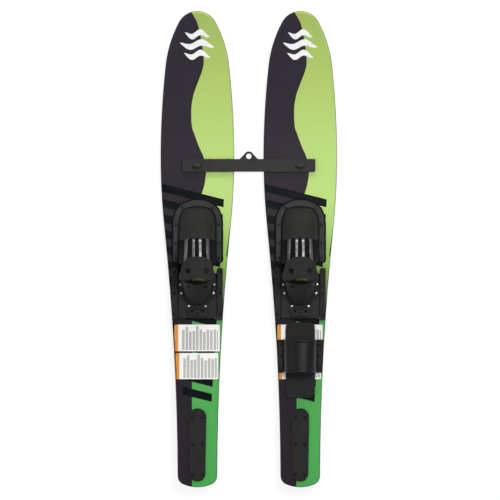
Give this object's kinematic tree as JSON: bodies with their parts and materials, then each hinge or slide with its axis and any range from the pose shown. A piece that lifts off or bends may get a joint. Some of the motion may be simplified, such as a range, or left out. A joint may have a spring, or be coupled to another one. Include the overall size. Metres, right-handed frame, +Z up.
{
  "type": "water ski pair",
  "caption": "Junior combination water skis with adjustable rubber bindings, tail fins and a trainer bar with a tow eye that joins the two skis.",
  "frame": {"origin": "on the ground under the middle of the pair, halfway along its length", "axes": "+Y towards the tips, +Z up, +X towards the right ski; the decks are pitched 3.2 degrees tips down, as the pair stands on its fins and forebodies"},
  "size_m": [0.4332, 1.1708, 0.1345],
  "materials": {
    "ski_green": "glossy printed laminate",
    "black_plastic": "moulded, lightly grained",
    "fin_plastic": "moulded, satin",
    "bar_plastic": "moulded, satin",
    "black_rubber": "matte moulded rubber",
    "gloss_rubber": "glossy ribbed rubber",
    "screw_black": "black-coated stainless",
    "screw_steel": "plain stainless",
    "rivet_aluminium": "bright",
    "brass": "turned"
  },
  "bodies": {
    "left_ski": {"left_ski": "ski_green", "left_tail_plate": "black_plastic", "left_tail_screws": "screw_black", "left_fin": "fin_plastic", "left_toe_frame": "black_plastic", "left_toe_frame_screws": "screw_black", "left_toe_overlay": "black_rubber", "left_instep_panel": "gloss_rubber", "left_footbed": "black_rubber", "left_pull_tab": "black_rubber", "left_outer_rail": "black_plastic", "left_inner_rail": "black_plastic", "left_rail_screws": "screw_black", "left_lock_rack": "black_plastic", "left_rack_screws": "screw_steel", "left_binding_inserts": "brass", "left_bar_insert": "brass", "left_bar_washer": "black_plastic"},
    "left_heel": {"left_heel_plate": "black_plastic", "left_heel_cup": "black_rubber", "left_heel_rivets": "rivet_aluminium", "left_lever_pin": "screw_steel", "left_lever_springs": "screw_steel"},
    "left_lever": {"left_lock_lever": "black_plastic"},
    "left_knob": {"left_bar_knob": "black_plastic", "left_knob_stud": "screw_steel"},
    "right_ski": {"right_ski": "ski_green", "right_tail_plate": "black_plastic", "right_tail_screws": "screw_black", "right_fin": "fin_plastic", "right_toe_frame": "black_plastic", "right_toe_frame_screws": "screw_black", "right_toe_overlay": "black_rubber", "right_instep_panel": "gloss_rubber", "right_footbed": "black_rubber", "right_pull_tab": "black_rubber", "right_outer_rail": "black_plastic", "right_inner_rail": "black_plastic", "right_rail_screws": "screw_black", "right_lock_rack": "black_plastic", "right_rack_screws": "screw_steel", "right_binding_inserts": "brass", "right_bar_insert": "brass", "right_bar_washer": "black_plastic", "right_rear_foot_pad": "black_rubber", "right_rear_toe_strap": "black_rubber", "right_rear_outer_strap_plate": "black_plastic", "right_rear_inner_strap_plate": "black_plastic", "right_rear_strap_screws": "screw_black"},
    "right_heel": {"right_heel_plate": "black_plastic", "right_heel_cup": "black_rubber", "right_heel_rivets": "rivet_aluminium", "right_lever_pin": "screw_steel", "right_lever_springs": "screw_steel"},
    "right_lever": {"right_lock_lever": "black_plastic"},
    "right_knob": {"right_bar_knob": "black_plastic", "right_knob_stud": "screw_steel"},
    "bar": {"trainer_bar": "bar_plastic"}
  },
  "joints": [
    {"name": "bar_swing", "type": "hinge", "parent": "left_ski", "child": "bar", "pos_m": [-0.12625, 0.20417, 0.0198], "axis": [0, 0.0554, 0.9985], "range_deg": [-4, 4]},
    {"name": "right_ski_swing", "type": "hinge", "parent": "bar", "child": "right_ski", "pos_m": [0.12625, 0.20417, 0.0198], "axis": [0, 0.0554, 0.9985], "range_deg": [-4, 4]},
    {"name": "left_knob_turn", "type": "hinge", "parent": "left_ski", "child": "left_knob", "pos_m": [-0.12625, 0.20444, 0.02479], "axis": [0, 0.0554, 0.9985], "continuous": true},
    {"name": "left_heel_slide", "type": "slide", "parent": "left_ski", "child": "left_heel", "axis": [0, 0.9985, -0.0554], "range_m": [0, 0.035]},
    {"name": "left_lever_lift", "type": "hinge", "parent": "left_heel", "child": "left_lever", "pos_m": [-0.12625, -0.15079, 0.04851], "axis": [-1, 0, 0], "range_deg": [0, 30], "stiffness_Nm_per_rad": 0.04, "springref_deg": -20.05},
    {"name": "right_knob_turn", "type": "hinge", "parent": "right_ski", "child": "right_knob", "pos_m": [0.12625, 0.20444, 0.02479], "axis": [0, 0.0554, 0.9985], "continuous": true},
    {"name": "right_heel_slide", "type": "slide", "parent": "right_ski", "child": "right_heel", "axis": [0, 0.9985, -0.0554], "range_m": [0, 0.035]},
    {"name": "right_lever_lift", "type": "hinge", "parent": "right_heel", "child": "right_lever", "pos_m": [0.12625, -0.15079, 0.04851], "axis": [-1, 0, 0], "range_deg": [0, 30], "stiffness_Nm_per_rad": 0.04, "springref_deg": -20.05}
  ]
}
